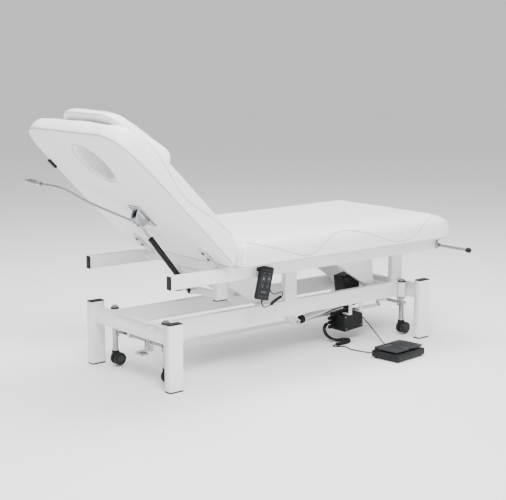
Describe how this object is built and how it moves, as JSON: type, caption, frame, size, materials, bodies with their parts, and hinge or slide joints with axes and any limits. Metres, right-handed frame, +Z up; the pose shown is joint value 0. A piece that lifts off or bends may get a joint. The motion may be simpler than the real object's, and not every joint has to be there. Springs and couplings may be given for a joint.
{
  "type": "facial treatment bed",
  "caption": "Electric height-adjustable facial bed with a reclining backrest, face hole, pillow, retractable casters, handset and foot switch.",
  "frame": {"origin": "floor level, under the centre of the whole bed with its foot switch, roll holder and release lever", "axes": "+X runs from the head end to the foot end, +Y to the side away from the handset, +Z up"},
  "size_m": [1.7112, 0.9456, 1.0382],
  "materials": {
    "white_paint": "white powder coat, semi-gloss",
    "white_vinyl": "soft white upholstery vinyl, fine grain",
    "vinyl_board": "plywood board wrapped in white vinyl",
    "black_plastic": "fine texture",
    "grey_plastic": "fine texture",
    "bright_metal": "bright plated",
    "wheel_rubber": "matt",
    "cord_black": "matt cord jacket"
  },
  "bodies": {
    "base": {"base_head_frame": "white_paint", "base_foot_frame": "white_paint", "base_rail_near": "white_paint", "base_rail_far": "white_paint", "head_arm_shaft": "bright_metal", "foot_arm_shaft": "bright_metal", "actuator_mount": "white_paint", "control_box": "black_plastic", "foot_switch_base": "black_plastic", "foot_switch_cord_coil": "cord_black", "foot_switch_cord_tail": "cord_black", "foot_switch_cord": "cord_black"},
    "head_arm": {"head_lift_arm": "white_paint"},
    "foot_arm": {"foot_lift_arm": "white_paint"},
    "actuator": {"actuator_body": "black_plastic"},
    "actuator_ram": {"actuator_rod": "bright_metal"},
    "upper_frame": {"upper_rail_near": "white_paint", "upper_rail_far": "white_paint", "head_cross_tube": "white_paint", "rest_cross_tube": "white_paint", "middle_cross_tube": "white_paint", "stop_cross_tube": "white_paint", "foot_rest_cross_tube": "white_paint", "gas_spring_hanger": "white_paint", "seat_board": "vinyl_board", "seat_cushion": "white_vinyl", "roll_holder_plate": "bright_metal", "handset_cord": "cord_black", "handset_cord_coil": "cord_black", "handset_cord_tail": "cord_black"},
    "backrest": {"back_board": "vinyl_board", "back_cushion": "white_vinyl", "back_hinge_strap_near": "white_paint", "back_hinge_strap_far": "white_paint", "release_bracket": "bright_metal"},
    "gas_cylinder": {"gas_spring_cylinder": "black_plastic"},
    "gas_ram": {"gas_spring_rod": "bright_metal"},
    "lever": {"release_lever": "bright_metal"},
    "head_pillow": {"pillow": "white_vinyl"},
    "roll_rod": {"roll_holder_rod": "bright_metal"},
    "handset": {"handset_case": "black_plastic"},
    "key_up": {"handset_key_up": "grey_plastic"},
    "key_down": {"handset_key_down": "grey_plastic"},
    "pedal_up": {"foot_pedal_up": "grey_plastic"},
    "pedal_down": {"foot_pedal_down": "grey_plastic"},
    "head_shaft": {"head_caster_shaft": "bright_metal"},
    "foot_shaft": {"foot_caster_shaft": "bright_metal"},
    "link": {"caster_link_bar": "white_paint"},
    "post_head_near": {"caster_post_head_near": "bright_metal"},
    "fork_head_near": {"caster_fork_head_near": "black_plastic"},
    "wheels_head_near": {"caster_wheels_head_near": "wheel_rubber"},
    "post_head_far": {"caster_post_head_far": "bright_metal"},
    "fork_head_far": {"caster_fork_head_far": "black_plastic"},
    "wheels_head_far": {"caster_wheels_head_far": "wheel_rubber"},
    "post_foot_near": {"caster_post_foot_near": "bright_metal"},
    "fork_foot_near": {"caster_fork_foot_near": "black_plastic"},
    "wheels_foot_near": {"caster_wheels_foot_near": "wheel_rubber"},
    "post_foot_far": {"caster_post_foot_far": "bright_metal"},
    "fork_foot_far": {"caster_fork_foot_far": "black_plastic"},
    "wheels_foot_far": {"caster_wheels_foot_far": "wheel_rubber"}
  },
  "joints": [
    {"name": "lift", "type": "hinge", "parent": "base", "child": "head_arm", "pos_m": [0.07964, 0.03192, 0.2], "axis": [0, 1, 0], "range_deg": [0, 50]},
    {"name": "frame_level", "type": "hinge", "parent": "head_arm", "child": "upper_frame", "pos_m": [-0.26036, 0.03192, 0.37], "axis": [0, 1, 0], "range_deg": [-50, 0]},
    {"name": "foot_arm_turn", "type": "hinge", "parent": "base", "child": "foot_arm", "pos_m": [0.68364, 0.03192, 0.2], "axis": [0, 1, 0], "range_deg": [0, 50]},
    {"name": "actuator_tilt", "type": "hinge", "parent": "base", "child": "actuator", "pos_m": [0.61464, -0.01808, 0.173], "axis": [0, 1, 0], "range_deg": [-4, 0]},
    {"name": "actuator_stroke", "type": "slide", "parent": "actuator", "child": "actuator_ram", "axis": [-0.9891, 0, -0.147], "range_m": [0, 0.111]},
    {"name": "recline", "type": "hinge", "parent": "upper_frame", "child": "backrest", "pos_m": [-0.35536, 0.03192, 0.412], "axis": [0, 1, 0], "range_deg": [-45, 5]},
    {"name": "gas_spring_tilt", "type": "hinge", "parent": "upper_frame", "child": "gas_cylinder", "pos_m": [-0.31036, 0.03192, 0.296], "axis": [0, 1, 0], "range_deg": [-33.5, 4.5]},
    {"name": "gas_spring_stroke", "type": "slide", "parent": "gas_cylinder", "child": "gas_ram", "axis": [-0.6269, 0, 0.7791], "range_m": [-0.05, 0.006]},
    {"name": "release_pull", "type": "hinge", "parent": "backrest", "child": "lever", "pos_m": [-0.54436, 0.05592, 0.59], "axis": [0, 1, 0], "range_deg": [0, 8], "stiffness_Nm_per_rad": 2, "springref_deg": -17.19},
    {"name": "pillow_off", "type": "slide", "parent": "backrest", "child": "head_pillow", "axis": [0.7071, 0, 0.7071], "range_m": [0, 0.15]},
    {"name": "roll_rod_pull", "type": "slide", "parent": "upper_frame", "child": "roll_rod", "axis": [0, -1, 0], "range_m": [0, 0.06]},
    {"name": "handset_off", "type": "slide", "parent": "upper_frame", "child": "handset", "axis": [0, -1, 0], "range_m": [0, 0.08]},
    {"name": "key_up_press", "type": "slide", "parent": "handset", "child": "key_up", "axis": [0, 1, 0], "range_m": [0, 0.0012], "stiffness_N_per_m": 400, "springref_m": -0.0005},
    {"name": "key_down_press", "type": "slide", "parent": "handset", "child": "key_down", "axis": [0, 1, 0], "range_m": [0, 0.0012], "stiffness_N_per_m": 400, "springref_m": -0.0005},
    {"name": "pedal_up_press", "type": "hinge", "parent": "base", "child": "pedal_up", "pos_m": [0.41237, -0.36134, 0.0385], "axis": [0.9925, 0.1219, 0], "range_deg": [0, 3.2], "stiffness_Nm_per_rad": 4, "springref_deg": -5.73},
    {"name": "pedal_down_press", "type": "hinge", "parent": "base", "child": "pedal_down", "pos_m": [0.41237, -0.36134, 0.0385], "axis": [0.9925, 0.1219, 0], "range_deg": [0, 3.2], "stiffness_Nm_per_rad": 4, "springref_deg": -5.73},
    {"name": "caster_lever", "type": "hinge", "parent": "base", "child": "head_shaft", "pos_m": [-0.51236, 0.03192, 0.13], "axis": [0, -1, 0], "range_deg": [0, 35]},
    {"name": "foot_shaft_turn", "type": "hinge", "parent": "base", "child": "foot_shaft", "pos_m": [0.73564, 0.03192, 0.13], "axis": [0, -1, 0], "range_deg": [0, 35]},
    {"name": "link_turn", "type": "hinge", "parent": "head_shaft", "child": "link", "pos_m": [-0.51236, 0.03192, 0.098], "axis": [0, -1, 0], "range_deg": [-35, 0]},
    {"name": "caster_drop_head_near", "type": "slide", "parent": "base", "child": "post_head_near", "axis": [0, 0, -1], "range_m": [0, 0.0222]},
    {"name": "caster_swivel_head_near", "type": "hinge", "parent": "post_head_near", "child": "fork_head_near", "pos_m": [-0.55036, -0.14008, 0.06], "axis": [0, 0, 1], "continuous": true},
    {"name": "caster_roll_head_near", "type": "hinge", "parent": "fork_head_near", "child": "wheels_head_near", "pos_m": [-0.53836, -0.14008, 0.031], "axis": [0, 1, 0], "continuous": true},
    {"name": "caster_drop_head_far", "type": "slide", "parent": "base", "child": "post_head_far", "axis": [0, 0, -1], "range_m": [0, 0.0222]},
    {"name": "caster_swivel_head_far", "type": "hinge", "parent": "post_head_far", "child": "fork_head_far", "pos_m": [-0.55036, 0.20392, 0.06], "axis": [0, 0, 1], "continuous": true},
    {"name": "caster_roll_head_far", "type": "hinge", "parent": "fork_head_far", "child": "wheels_head_far", "pos_m": [-0.53836, 0.20392, 0.031], "axis": [0, 1, 0], "continuous": true},
    {"name": "caster_drop_foot_near", "type": "slide", "parent": "base", "child": "post_foot_near", "axis": [0, 0, -1], "range_m": [0, 0.0222]},
    {"name": "caster_swivel_foot_near", "type": "hinge", "parent": "post_foot_near", "child": "fork_foot_near", "pos_m": [0.69764, -0.14008, 0.06], "axis": [0, 0, 1], "continuous": true},
    {"name": "caster_roll_foot_near", "type": "hinge", "parent": "fork_foot_near", "child": "wheels_foot_near", "pos_m": [0.70964, -0.14008, 0.031], "axis": [0, 1, 0], "continuous": true},
    {"name": "caster_drop_foot_far", "type": "slide", "parent": "base", "child": "post_foot_far", "axis": [0, 0, -1], "range_m": [0, 0.0222]},
    {"name": "caster_swivel_foot_far", "type": "hinge", "parent": "post_foot_far", "child": "fork_foot_far", "pos_m": [0.69764, 0.20392, 0.06], "axis": [0, 0, 1], "continuous": true},
    {"name": "caster_roll_foot_far", "type": "hinge", "parent": "fork_foot_far", "child": "wheels_foot_far", "pos_m": [0.70964, 0.20392, 0.031], "axis": [0, 1, 0], "continuous": true}
  ],
  "couplings": [
    {"joint": "frame_level", "follows": "lift", "ratio": -1},
    {"joint": "foot_arm_turn", "follows": "lift", "ratio": 1},
    {"joint": "actuator_tilt", "follows": "lift", "ratio": -0.072},
    {"joint": "actuator_stroke", "follows": "lift", "m_per_rad": 0.125},
    {"joint": "gas_spring_tilt", "follows": "recline", "ratio": 0.72},
    {"joint": "gas_spring_stroke", "follows": "recline", "m_per_rad": 0.063},
    {"joint": "foot_shaft_turn", "follows": "caster_lever", "ratio": 1},
    {"joint": "link_turn", "follows": "caster_lever", "ratio": -1},
    {"joint": "caster_drop_head_near", "follows": "caster_lever", "m_per_rad": 0.036},
    {"joint": "caster_drop_head_far", "follows": "caster_lever", "m_per_rad": 0.036},
    {"joint": "caster_drop_foot_near", "follows": "caster_lever", "m_per_rad": 0.036},
    {"joint": "caster_drop_foot_far", "follows": "caster_lever", "m_per_rad": 0.036}
  ]
}
